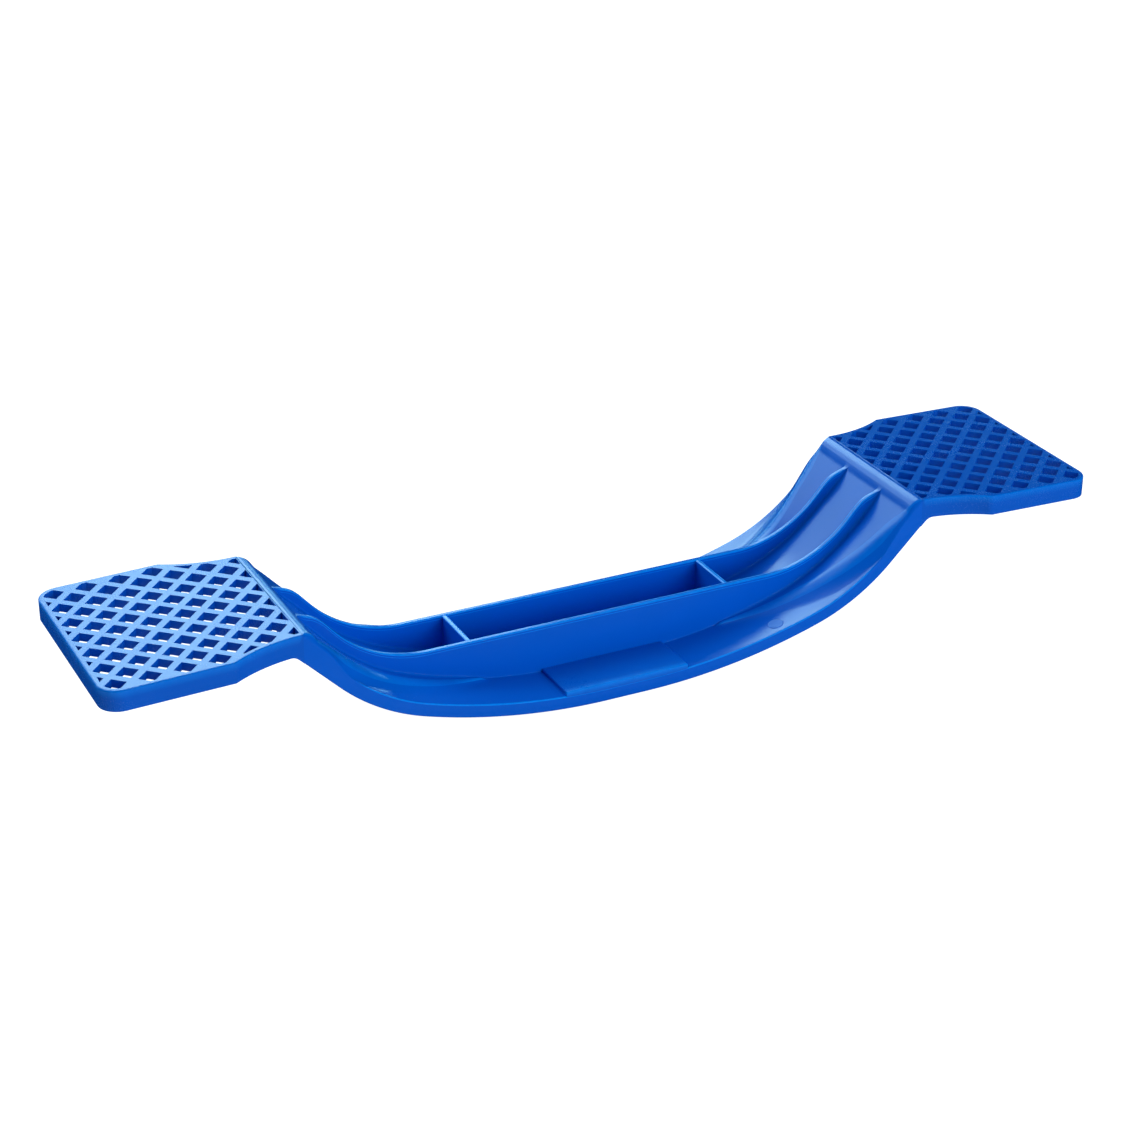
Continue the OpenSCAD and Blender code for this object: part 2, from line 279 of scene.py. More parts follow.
beam_plastic = make_plastic("beam_plastic", BOARD_BLUE, 0.23, 0.5, 900.0, 0.35, 1.25)
plate_plastic = make_plastic("plate_plastic", PLATE_BLUE, 0.26, 0.5, 1100.0, 0.45, 1.0)
pad_plastic = make_plastic("pad_plastic", PAD_BLUE, 0.30, 0.45, 1300.0, 0.6, 1.0)
mark_plastic = make_plastic("mark_plastic", MARK_BLUE, 0.45, 0.6, 1300.0, 1.0, 1.0)
print("materials:", len(bpy.data.materials))


# %% [markdown]
# The beam's side view is a family of sagging lines: level in the middle, a long arc, a tighter
# arc, then a straight climb to the footplate. The edge bands, flanges and channel floor each
# follow one. The rib tops are level over the tray and then climb to a soft shoulder.

# %% Side view lines
REST_HALF = 15.0
CLIMB_ANGLE = 45.0


def sag(x, level, long_radius, long_angle, short_radius):
    run = abs(x) - REST_HALF
    turn, climb = math.radians(long_angle), math.radians(CLIMB_ANGLE)
    if run <= 0:
        return level
    if run <= long_radius * math.sin(turn):
        return level + long_radius - math.sqrt(long_radius ** 2 - run ** 2)
    centre = (long_radius - short_radius) * math.sin(turn)
    height = level + long_radius - (long_radius - short_radius) * math.cos(turn)
    if run - centre <= short_radius * math.sin(climb):
        return height - math.sqrt(short_radius ** 2 - (run - centre) ** 2)
    past = run - centre - short_radius * math.sin(climb)
    return height - short_radius * math.cos(climb) + past * math.tan(climb)


def band_foot(x):
    return sag(x, 0.0, 465.0, 17.5, 150.0)


def flange_level(x, under=0.0):
    return sag(x, 10.0 - under, 455.0 + under, 17.5, 140.0 + under)


def floor_level(x, under=0.0):
    return sag(x, 11.5 - under, 453.5 + under, 14.5, 160.0 + under)


print("floor at the collar", round(floor_level(COLLAR_INNER), 2))


# %% Soft joins and easy curves
def soft_max(a, b, reach):
    near = max(reach - abs(a - b), 0.0) / reach
    return max(a, b) + near * near * reach / 4


def soft_min(a, b, reach):
    return -soft_max(-a, -b, reach)


def ease(x, start, end):
    t = min(max((x - start) / (end - start), 0.0), 1.0)
    return t * t * (3 - 2 * t)


def curve_through(x, points):
    """A smooth line through a few (x, value) points, level beyond its ends."""
    if x <= points[0][0]:
        return points[0][1]
    if x >= points[-1][0]:
        return points[-1][1]
    i = max(k for k in range(len(points) - 1) if points[k][0] <= x)
    def slope(k):
        a, b = points[max(k - 1, 0)], points[min(k + 1, len(points) - 1)]
        return (b[1] - a[1]) / (b[0] - a[0])
    (x0, y0), (x1, y1) = points[i], points[i + 1]
    h = x1 - x0
    t = (x - x0) / h
    return (
        (2 * t ** 3 - 3 * t ** 2 + 1) * y0 + (t ** 3 - 2 * t ** 2 + t) * h * slope(i)
        + (3 * t ** 2 - 2 * t ** 3) * y1 + (t ** 3 - t ** 2) * h * slope(i + 1)
    )


# %% Rib top and collar round
LIFT_START, LIFT_RADIUS = 135.0, 90.0
SHOULDER_X, SHOULDER_DROP, FINISH_DROP = COLLAR_INNER - 17.0, 12.0, 6.5
COLLAR_RADIUS, COLLAR_START_TILT, COLLAR_END_TILT = 11.2, math.radians(3), math.radians(64)


def rib_top(x):
    run = abs(x) - LIFT_START
    if run <= 0:
        return RIB_LEVEL
    over = SHOULDER_X - LIFT_START
    drop = RIB_LEVEL + LIFT_RADIUS - (PLATE_TOP - SHOULDER_DROP)
    angle = math.pi / 2 - math.atan2(drop, over) - math.acos(LIFT_RADIUS / math.hypot(over, drop))
    if run < LIFT_RADIUS * math.sin(angle):
        climb = RIB_LEVEL + LIFT_RADIUS - math.sqrt(LIFT_RADIUS ** 2 - run ** 2)
    else:
        past = run - LIFT_RADIUS * math.sin(angle)
        climb = RIB_LEVEL + LIFT_RADIUS * (1 - math.cos(angle)) + past * math.tan(angle)
    grade = (SHOULDER_DROP - FINISH_DROP) / (COLLAR_INNER - SHOULDER_X)
    gentle = PLATE_TOP - SHOULDER_DROP + (abs(x) - SHOULDER_X) * grade
    return soft_min(climb, gentle, 5.0)


def collar_round(x):
    past = COLLAR_OUTER - abs(x) + COLLAR_RADIUS * math.sin(COLLAR_START_TILT)
    crown = PLATE_TOP - COLLAR_RADIUS * math.cos(COLLAR_START_TILT)
    end = COLLAR_RADIUS * math.sin(COLLAR_END_TILT)
    if past < end:
        return crown + math.sqrt(COLLAR_RADIUS ** 2 - past ** 2)
    return crown + COLLAR_RADIUS * math.cos(COLLAR_END_TILT) - (past - end) * math.tan(COLLAR_END_TILT)


def to_collar(x, level):
    reach = 0.05 + 1.2 * (1 - ease(abs(x), COLLAR_INNER, COLLAR_OUTER))
    return min(soft_max(level, collar_round(x), reach), PLATE_TOP)


print("rib top at the collar", round(rib_top(COLLAR_INNER), 2))

# %% [markdown]
# The beam could be cut from solids, but its steps fade in and out, and its edges are all soft. So
# one cross section is described by its corners, each with its own rounding, and that section is
# stretched along the beam on a grid whose rows are closed into a ring. The corners move with the
# distance from mid length, which makes the steps grow out of the ribs and run out to the edge.

# %% The step's lines in plan
# Each point is (distance along the beam, distance from its middle line or height), in mm.
CREST_LINE = [
    (93.0, 27.0), (110.0, 30.5), (142.0, 36.5), (169.0, 42.0), (190.0, 49.0), (209.0, 56.5), (240.0, 64.2),
]
FOOT_LINE = [
    (93.0, 29.5), (110.0, 35.5), (128.0, 42.0), (144.0, 45.5), (165.0, 51.0), (189.0, 59.0), (211.0, 65.5),
]
DECK_DROP = [(104.0, 0.3), (140.0, -0.6), (168.0, 0.8), (190.0, 1.6), (209.0, 2.8), (232.0, 0.0)]
CREST_LIFT = [(104.0, 0.6), (150.0, 1.0), (200.0, 1.6), (217.0, 1.2), (236.0, 0.0)]
print("crest points", len(CREST_LINE), "foot points", len(FOOT_LINE))

# %% Sizes of the section
SKIN = 3.0
STEP_GROWS = (90.5, 98.0)
STEP_RUNS_OUT = (207.0, 226.0)
CREST_TIGHTENS, CREST_ROUND, CREST_LOSS = (215.0, 236.0), 5.8, 4.6
FOOT_TIGHTENS, FOOT_ROUND, FOOT_LOSS = (200.0, 215.0), 5.0, 3.0
LEDGE, LEDGE_DROP, LEDGE_SHARE = 0.12, 2.3, 0.45
# How strongly the rib tops, the step's crest and the flange's outer edge get a painted highlight, and where
# it fades out.
RIB_HIGHLIGHT_ENDS = (222.0, 229.0)
CREST_HIGHLIGHT, CREST_HIGHLIGHT_LOSS, CREST_HIGHLIGHT_FALLS = 0.8, 0.45, (100.0, 125.0)
FLANGE_EDGE_HIGHLIGHT, FLANGE_EDGE_HIGHLIGHT_ENDS = 0.9, (192.0, 207.0)
FLANGE_TURNS_UNDER = 211.0
print("skin", SKIN, "step grows over", STEP_GROWS)


# %% Corners of half a section
def section_corners(x):
    """Corners (y, z, rounding, steps, painted highlight) of half a section, from the channel's floor round
    to below it.
    """
    x = abs(x)
    flange, floor, foot = flange_level(x), floor_level(x), band_foot(x)
    grown = ease(x, *STEP_GROWS)
    crest = flange + grown * (floor + curve_through(x, CREST_LIFT) - flange)
    deck = flange + grown * (floor - curve_through(x, DECK_DROP) - flange)
    rib = soft_max(rib_top(x), floor + 0.2, 0.8)
    crest_y, foot_y = curve_through(x, CREST_LINE), curve_through(x, FOOT_LINE)
    side = flange + (crest - flange) * 0.72 * ease(x, *STEP_RUNS_OUT)
    edge = flange if x < FLANGE_TURNS_UNDER else min(flange, side - 1.0)
    crest_reach = CREST_ROUND - CREST_LOSS * ease(x, *CREST_TIGHTENS)
    foot_reach = FOOT_ROUND - FOOT_LOSS * ease(x, *FOOT_TIGHTENS)
    top = to_collar(x, rib)
    floor_top, deck_top, crest_top = to_collar(x, floor), to_collar(x, deck), to_collar(x, crest)
    lower = top - min(LEDGE_DROP, LEDGE_SHARE * max(top - max(floor_top, deck_top), 0.0))
    # Painted highlight on the rib tops, the crest and the flange's outer edge.
    rib_highlight = 1 - ease(x, *RIB_HIGHLIGHT_ENDS)
    crest_highlight = grown * (CREST_HIGHLIGHT - CREST_HIGHLIGHT_LOSS * ease(x, *CREST_HIGHLIGHT_FALLS))
    flange_edge_highlight = FLANGE_EDGE_HIGHLIGHT * (1 - ease(x, *FLANGE_EDGE_HIGHLIGHT_ENDS))
    # Inside the collar the beam is a skin; past it, it is solid down to the foot.
    solid = x > COLLAR_INNER
    skin = floor - floor_level(x, SKIN)
    floor_under = foot if solid else floor - skin
    deck_under = foot if solid else deck - skin
    crest_under = foot if solid else crest - skin
    flange_under = foot if solid else flange_level(x, SKIN)
    return [
        (0.0, floor_top, 0.0, 0, 0.0),
        (RIB_INNER, floor_top, 2.0, 4, 0.0),
        (RIB_INNER, lower, 0.3, 2, 0.5 * rib_highlight),
        (RIB_INNER + LEDGE, lower, 0.15, 1, 0.5 * rib_highlight),
        (RIB_INNER + LEDGE, top, 1.5, 6, 0.9 * rib_highlight),
        (RIB_OUTER - LEDGE, top, 1.5, 6, 0.85 * rib_highlight),
        (RIB_OUTER - LEDGE, lower, 0.15, 1, 0.8 * rib_highlight),
        (RIB_OUTER, lower, 0.3, 2, 0.8 * rib_highlight),
        (RIB_OUTER, deck_top, 2.2, 4, 0.0),
        (crest_y, crest_top, crest_reach, 6, crest_highlight),
        (foot_y, side, foot_reach, 5, 0.0),
        (HALF_BEAM, edge, 0.9, 4, flange_edge_highlight),
        (HALF_BEAM, foot, 1.1, 4, 0.0),
        (BAND_INNER, foot, 0.9, 3, 0.0),
        (BAND_INNER, flange_under, 1.0, 3, 0.0),
        (foot_y - 3.4, flange_under, 1.5, 3, 0.0),
        (crest_y - 2.0, crest_under, 1.5, 3, 0.0),
        (RIB_OUTER - 1.0, deck_under, 0.6, 2, 0.0),
        (RIB_INNER + 0.5, floor_under, 0.6, 2, 0.0),
        (0.0, floor_under, 0.0, 0, 0.0),
    ]


print("corners in half a section:", len(section_corners(0.0)))


# %% Round the corners of a section
LARGEST_SHARE = 0.42
GUARD = 1.12


def rounded(corners):
    """The section's points as (y, z, painted highlight); a rounding's own points carry its painted
    highlight, its neighbours none.
    """
    line = []
    for k, (y, z, reach, steps, edge_highlight) in enumerate(corners):
        here = Vector((y, z))
        if steps == 0:
            line.append((*here, 0.0))
            continue
        before, after = Vector(corners[k - 1][:2]) - here, Vector(corners[k + 1][:2]) - here
        a, b = min(reach, LARGEST_SHARE * before.length), min(reach, LARGEST_SHARE * after.length)
        start = here + before.normalized() * a if before.length > 1e-6 else here
        end = here + after.normalized() * b if after.length > 1e-6 else here
        line.append((*(here + (start - here) * GUARD), 0.0))
        for s in range(steps + 1):
            t = s / steps
            line.append((*(start * (1 - t) ** 2 + here * 2 * t * (1 - t) + end * t * t), edge_highlight))
        line.append((*(here + (end - here) * GUARD), 0.0))
    return line


def section_ring(x):
    half = rounded(section_corners(x))
    other = [(-y, z, edge_highlight) for y, z, edge_highlight in reversed(half[1:-1])]
    return half + other


print("points round the section:", len(section_ring(0.0)))


# %% Stations along the beam
# Each span is (start, end, step): close together where the section changes fast.
SPANS = [
    (0, 88, 4.0), (88, 114, 1.5), (114, 205, 3.0), (205, 226, 1.5), (226, 231.6, 0.8), (232.4, 240, 0.55),
]


def stations():
    right = []
    for start, end, step in SPANS:
        count = max(1, round((end - start) / step))
        right += [start + (end - start) * k / count for k in range(count)]
    right += [COLLAR_INNER - 0.01, COLLAR_INNER + 0.01, COLLAR_OUTER]
    right = sorted(right)
    return [-x for x in reversed(right[1:])] + right


print("stations:", len(stations()))


# %% Build the beam
def build_beam():
    places = stations()
    rings = [section_ring(x) for x in places]
    around = len(rings[0])
    bm = bmesh.new()
    bmesh.ops.create_grid(bm, x_segments=len(places) - 1, y_segments=around, size=1.0)
    # Each point keeps how much painted highlight it gets.
    edge_highlight = bm.verts.layers.float.new("edge_highlight")
    for v in bm.verts:
        i = round((v.co.x + 1) / 2 * (len(places) - 1))
        j = round((v.co.y + 1) / 2 * around) % around
        y, z, v[edge_highlight] = rings[i][j]
        v.co = (places[i], y, z)
    bmesh.ops.remove_doubles(bm, verts=bm.verts, dist=1e-4)
    ends = [e for e in bm.edges if e.is_boundary]
    bmesh.ops.holes_fill(bm, edges=ends, sides=0)
    return bm


beam_nodes = [
    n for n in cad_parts
    if n.endswith(("_rib", "_flange", "_band", "_deck", "_step", "_channel_floor", "_collar"))
]
beam = finish_piece("beam_moulding", build_beam(), beam_plastic, beam_nodes)

# %% [markdown]
# Two cross walls close the tray between the ribs. Each is a thin block whose foot is buried in the
# floor and whose top edges are rounded.

# %% Cross walls
# The second value is the painted highlight on the wall's top edges.
WALL_ROUND, WALL_HIGHLIGHT = 1.2, 0.9
WALL_INTO_RIBS, WALL_INTO_FLOOR, WALL_LOWERED = 1.2, 1.0, 0.9


def build_cross_wall(node):
    low, high = (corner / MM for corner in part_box(node))
    size = high - low + Vector((0.0, WALL_INTO_RIBS, WALL_INTO_FLOOR))
    bm = bmesh.new()
    bmesh.ops.create_cube(bm, size=1.0)
    bmesh.ops.scale(bm, vec=size, verts=bm.verts)
    middle = (low + high) / 2
    bmesh.ops.translate(bm, vec=(middle.x, middle.y, middle.z - WALL_LOWERED), verts=bm.verts)
    top = max(v.co.z for v in bm.verts)
    rims = [
        e for e in bm.edges
        if all(v.co.z > top - 0.1 for v in e.verts) and abs(e.verts[0].co.x - e.verts[1].co.x) < 0.1
    ]
    bmesh.ops.bevel(
        bm, geom=rims, offset=WALL_ROUND, offset_type="OFFSET", segments=4, profile=0.5,
        affect="EDGES", clamp_overlap=True, material=-1,
    )
    # Points on the top take the painted highlight.
    edge_highlight = bm.verts.layers.float.new("edge_highlight")
    for v in bm.verts:
        if v.co.z > top - 0.7:
            v[edge_highlight] = WALL_HIGHLIGHT
    return bm


for side in ("left", "right"):
    node = side + "_cross_wall"
    finish_piece(node + "_moulded", build_cross_wall(node), beam_plastic, [node])

# %% [markdown]
# A raised pad sits in the middle of each flange, with a slightly prouder strip along its outer
# edge. It starts as a sheet that is drawn down
# to the flange, the strip is lifted, and the upper edges are rounded.

# %% Pads
PAD_STRIP, PAD_STRIP_RISE, PAD_ROUND = 5.2, 0.8, 0.9
SHARP_FOLD = 0.6
# Painted highlight on the strip's outer edge and, fainter, along its inner foot.
STRIP_HIGHLIGHT, STRIP_FOOT_HIGHLIGHT = 0.9, 0.25


def build_pad(node, front):
    low, high = (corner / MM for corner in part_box(node))
    inner, outer = RIB_OUTER - 0.5, HALF_BEAM
    bm = bmesh.new()
    bmesh.ops.create_grid(bm, x_segments=24, y_segments=1, size=1.0)
    for v in bm.verts:
        v.co = (v.co.x * high.x, inner if v.co.y < 0 else outer, high.z - PAD_STRIP_RISE)
    bmesh.ops.bisect_plane(
        bm, geom=bm.verts[:] + bm.edges[:] + bm.faces[:], dist=1e-5,
        plane_co=(0, outer - PAD_STRIP, 0), plane_no=(0, 1, 0),
    )
    made = bmesh.ops.extrude_face_region(bm, geom=bm.faces[:])
    lower = [g for g in made["geom"] if isinstance(g, bmesh.types.BMVert)]
    for v in lower:
        v.co.z = flange_level(v.co.x) - 0.6
    bm.normal_update()
    for v in bm.verts:
        if v.co.z > high.z - 2 and v.co.y > outer - PAD_STRIP - 0.1:
            v.co.z = high.z
    bmesh.ops.recalc_face_normals(bm, faces=bm.faces[:])
    bm.normal_update()
    rims = [
        e for e in bm.edges
        if len(e.link_faces) == 2 and e.calc_face_angle(0) > SHARP_FOLD
        and all(v.co.z > high.z - 2 for v in e.verts)
    ]
    bmesh.ops.bevel(
        bm, geom=rims, offset=PAD_ROUND, offset_type="OFFSET", segments=4, profile=0.5,
        affect="EDGES", clamp_overlap=True, material=-1,
    )
    # Paler blue painted on the strip's edges as a highlight.
    edge_highlight = bm.verts.layers.float.new("edge_highlight")
    for v in bm.verts:
        if v.co.z > high.z - 1.0 and v.co.y > outer - 1.2:
            v[edge_highlight] = STRIP_HIGHLIGHT
        elif v.co.z > high.z - 1.0 and abs(v.co.y - outer + PAD_STRIP) < 1.0:
            v[edge_highlight] = STRIP_FOOT_HIGHLIGHT
    if front:
        bmesh.ops.scale(bm, vec=(1, -1, 1), verts=bm.verts)
    return bm


for node in ("front_pad", "rear_pad"):
    finish_piece(node + "_moulded", build_pad(node, node == "front_pad"), pad_plastic, [node])

# %% [markdown]
# A shallow round mark shows on the right end of the front flange, where a pin pushed the moulding
# out of its mould. It is a thin disc with a raised lip, laid on the flange's curve.

# %% Round mark
def build_mark(centre_x, centre_y, radius):
    bm = bmesh.new()
    bmesh.ops.create_circle(bm, cap_ends=True, radius=radius, segments=48)
    bmesh.ops.inset_region(bm, faces=bm.faces[:], thickness=0.5, use_even_offset=True, use_boundary=True)
    middle = max(bm.faces, key=lambda f: f.calc_area())
    bmesh.ops.translate(bm, vec=(0, 0, 0.25), verts=[v for v in bm.verts if v not in middle.verts[:]])
    bmesh.ops.inset_region(bm, faces=[middle], thickness=0.5, use_even_offset=True)
    skirt = bmesh.ops.extrude_edge_only(bm, edges=[e for e in bm.edges if e.is_boundary])
    low = [g for g in skirt["geom"] if isinstance(g, bmesh.types.BMVert)]
    bmesh.ops.translate(bm, vec=(0, 0, -0.9), verts=low)
    bmesh.ops.holes_fill(bm, edges=[e for e in bm.edges if e.is_boundary], sides=0)
    for v in bm.verts:
        v.co.x, v.co.y = v.co.x + centre_x, v.co.y + centre_y
        v.co.z += flange_level(v.co.x) + 0.12
    return bm


finish_piece("round_mould_mark", build_mark(126.0, -55.0, 5.5), mark_plastic)

# %% [markdown]
# A footplate is a flat lattice inside a deeper rim wall. Its outline is drawn once, inset by the
# rim's thickness, and the inner part is sliced along the edges of every bar. The cells between the
# bars are then thrown away, and the flat drawing is drawn down into bars and the rim further down
# into its wall. Slicing one sheet keeps the bars and the rim a single skin with no seams.

# %% Footplate sizes
NECK_END = 292.0
CORNER_RADIUS = 15.0
RIM_THICKNESS, RIM_DEPTH = 3.6, 15.0
BAR_WIDTH, BAR_DEPTH = 5.2, 6.0
CELL_PITCH, CELL_MARGIN = 23.4, 11.0
PLATE_FALL = math.tan(math.radians(1.55))
LATTICE_START = 241.3
BAR_SPACING = CELL_PITCH / math.sqrt(2)
BARS_EACH_WAY = 14
SMALLEST_CELL = 9.0
RIM_ROUND, BAR_ROUND = 1.4, 0.45
# Painted highlight on the rim's outer edge and on the bars' top edges; the last value is how far the rim's
# rounded edge reaches.
RIM_HIGHLIGHT, BAR_HIGHLIGHT, EDGE_REACH = 0.6, 0.5, 1.3
NECK_CUTS = (242.6, 243.9, 245.2, 246.5, 247.8, 249.1, 250.4, 252.0)
print("bars every", round(BAR_SPACING, 2), "mm")


def neck_half(x):
    """Half the plate's width along the flared neck."""
    run, rise = NECK_END - COLLAR_OUTER, HALF_PLATE - HALF_BEAM
    radius = (run * run + rise * rise) / (2 * rise)
    return HALF_BEAM + radius - math.sqrt(radius ** 2 - (x - COLLAR_OUTER) ** 2)


def plate_outline():
    bm = bmesh.new()
    corners = [(COLLAR_OUTER, -HALF_BEAM), (NECK_END, -HALF_PLATE), (HALF_LENGTH, -HALF_PLATE),
               (HALF_LENGTH, HALF_PLATE), (NECK_END, HALF_PLATE), (COLLAR_OUTER, HALF_BEAM)]
    bm.faces.new([bm.verts.new((x, y, 0.0)) for x, y in corners])
    outer = [v for v in bm.verts if v.co.x > HALF_LENGTH - 1]
    bmesh.ops.bevel(
        bm, geom=outer, offset=CORNER_RADIUS, offset_type="OFFSET", segments=10, profile=0.5,
        affect="VERTICES", clamp_overlap=True, material=-1,
    )
    necks = [e for e in bm.edges if e.verts[0].co.x < NECK_END + 0.1 and e.verts[1].co.x < NECK_END + 0.1
             and abs(e.verts[0].co.x - e.verts[1].co.x) > 1]
    bmesh.ops.bisect_edges(bm, edges=necks, cuts=15)
    for v in bm.verts:
        if COLLAR_OUTER + 0.1 < v.co.x < NECK_END - 0.1:
            v.co.y = math.copysign(neck_half(v.co.x), v.co.y)
    return bm


print("outline points", len(plate_outline().verts))


# %% Slice the lattice
def in_cell(x, y):
    """True where a point lies in a diamond opening of the lattice."""
    for turn in (1, -1):
        along = ((HALF_LENGTH - CELL_MARGIN - x) + turn * y) / math.sqrt(2)
        offset = (along + BAR_SPACING / 2) % BAR_SPACING - BAR_SPACING / 2
        if abs(abs(offset) - BAR_SPACING / 2) < BAR_WIDTH / 2 - 0.01:
            return False
    return True


def slice_faces(bm, faces, point, direction):
    """Cut only these faces along a plane."""
    parts = dict.fromkeys(faces)
    for face in faces:
        parts.update(dict.fromkeys([*face.edges, *face.verts]))
    bmesh.ops.bisect_plane(bm, geom=list(parts), dist=1e-4, plane_co=point, plane_no=direction)


def slice_lattice(bm):
    tag = bm.faces.layers.int.new("inside")
    bmesh.ops.inset_region(
        bm, faces=bm.faces[:], thickness=RIM_THICKNESS, use_boundary=True, use_even_offset=True,
    )
    middle = max(bm.faces, key=lambda f: f.calc_area())
    near = [v for v in middle.verts if v.co.x < COLLAR_OUTER + RIM_THICKNESS + 0.2]
    for v in near:
        v.co = (LATTICE_START, math.copysign(HALF_BEAM - RIM_THICKNESS, v.co.y), 0)
    middle[tag] = 1
    for x in NECK_CUTS:
        slice_faces(bm, [f for f in bm.faces if not f[tag]], (x, 0, 0), (1, 0, 0))
    for turn in (1, -1):
        direction = Vector((-1, turn, 0)).normalized()
        for k in range(-BARS_EACH_WAY, BARS_EACH_WAY + 1):
            for edge in (-1, 1):
                distance = (k + 0.5) * BAR_SPACING + edge * BAR_WIDTH / 2
                point = Vector((HALF_LENGTH - CELL_MARGIN, 0, 0)) + direction * distance
                slice_faces(bm, [f for f in bm.faces if f[tag]], point, direction)
    return tag


def plate_sheet():
    """The flat drawing of a plate: bars and rim, with the cells thrown away."""
    bm = plate_outline()
    tag = slice_lattice(bm)
    cells = []
    for f in bm.faces:
        if f[tag] and f.calc_area() > SMALLEST_CELL:
            centre = f.calc_center_median()
            if in_cell(centre.x, centre.y):
                cells.append(f)
    bmesh.ops.delete(bm, geom=cells, context="FACES")
    print("plate sheet faces", len(bm.faces), "cells", len(cells))
    return bm, tag


# %% Draw the plate down
def outside_line(x, y):
    """True where a point lies on the plate's outer edge, away from the collar."""
    half = HALF_PLATE if x > NECK_END else neck_half(x)
    past_end = max(x - HALF_LENGTH + CORNER_RADIUS, 0)
    past_side = max(abs(y) - HALF_PLATE + CORNER_RADIUS, 0)
    at_corner = math.hypot(past_end, past_side)
    return abs(y) > half - 0.05 or x > HALF_LENGTH - 0.05 or at_corner > CORNER_RADIUS - 0.1


def near_outside(x, y):
    """True on the rounded edge just inside the outer line too."""
    wider = math.copysign(abs(y) + EDGE_REACH, y)
    return outside_line(x, y) or outside_line(x + EDGE_REACH, y) or outside_line(x, wider)


def draw_down(bm, faces, depth):
    made = bmesh.ops.extrude_face_region(bm, geom=faces)
    lower = [g for g in made["geom"] if isinstance(g, bmesh.types.BMVert)]
    bmesh.ops.translate(bm, vec=(0, 0, -depth), verts=lower)
    return [g for g in made["geom"] if isinstance(g, bmesh.types.BMFace)]


def build_plate(mirrored):
    bm, tag = plate_sheet()
    low_faces = draw_down(bm, bm.faces[:], BAR_DEPTH)
    rim_faces = [f for f in low_faces if not f[tag]]
    draw_down(bm, rim_faces, RIM_DEPTH - BAR_DEPTH)
    bmesh.ops.recalc_face_normals(bm, faces=bm.faces[:])
    bm.normal_update()
    edge_of_rim = [
        e for e in bm.edges
        if e.calc_face_angle(0) > SHARP_FOLD and all(v.co.z > -0.01 for v in e.verts)
        and not all(v.co.x < COLLAR_OUTER + 0.01 for v in e.verts)
        and all(outside_line(v.co.x, v.co.y) for v in e.verts)
    ]
    bmesh.ops.bevel(
        bm, geom=edge_of_rim, offset=RIM_ROUND, offset_type="OFFSET", segments=4, profile=0.5,
        affect="EDGES", clamp_overlap=True, material=-1,
    )
    bm.normal_update()
    rims = [
        e for e in bm.edges
        if len(e.link_faces) == 2 and e.calc_face_angle(0) > SHARP_FOLD
        and not all(v.co.x < COLLAR_OUTER + 0.01 for v in e.verts)
    ]
    bmesh.ops.bevel(
        bm, geom=rims, offset=BAR_ROUND, offset_type="OFFSET", segments=2, profile=0.5,
        affect="EDGES", clamp_overlap=True, material=-1,
    )
    # The rim's outer edge and the bar tops take the painted highlight.
    edge_highlight = bm.verts.layers.float.new("edge_highlight")
    for v in bm.verts:
        if -EDGE_REACH < v.co.z < -0.05 and v.co.x > COLLAR_OUTER + 1 and near_outside(v.co.x, v.co.y):
            v[edge_highlight] = RIM_HIGHLIGHT
        elif -0.3 < v.co.z < -0.02:
            v[edge_highlight] = BAR_HIGHLIGHT
    # The plate falls a little outwards, and the rim's foot by the neck meets the beam's own foot.
    for v in bm.verts:
        sunk = PLATE_TOP - (v.co.x - COLLAR_OUTER) * PLATE_FALL
        if v.co.z < -RIM_DEPTH + 1.0 and v.co.x < NECK_CUTS[-1]:
            foot = soft_min(sunk - RIM_DEPTH, band_foot(v.co.x), 3.0)
            v.co.z = foot + (v.co.z + RIM_DEPTH)
        else:
            v.co.z += sunk
    if mirrored:
        bmesh.ops.scale(bm, vec=(-1, 1, 1), verts=bm.verts)
    return bm


for side in ("left", "right"):
    finish_piece(
        side + "_footplate", build_plate(side == "left"), plate_plastic,
        [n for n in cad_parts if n.startswith((side + "_lattice", side + "_rim"))],
    )

# %% [markdown]
# The stage. Two soft boxes and a low strip stand behind the board and show only in its
# reflections. Three broad lights give the board its colour and don't show in reflections. The
# floor looks white to the camera, while the plastic's reflections see a dark room, as they would
# among black cards in a product studio.

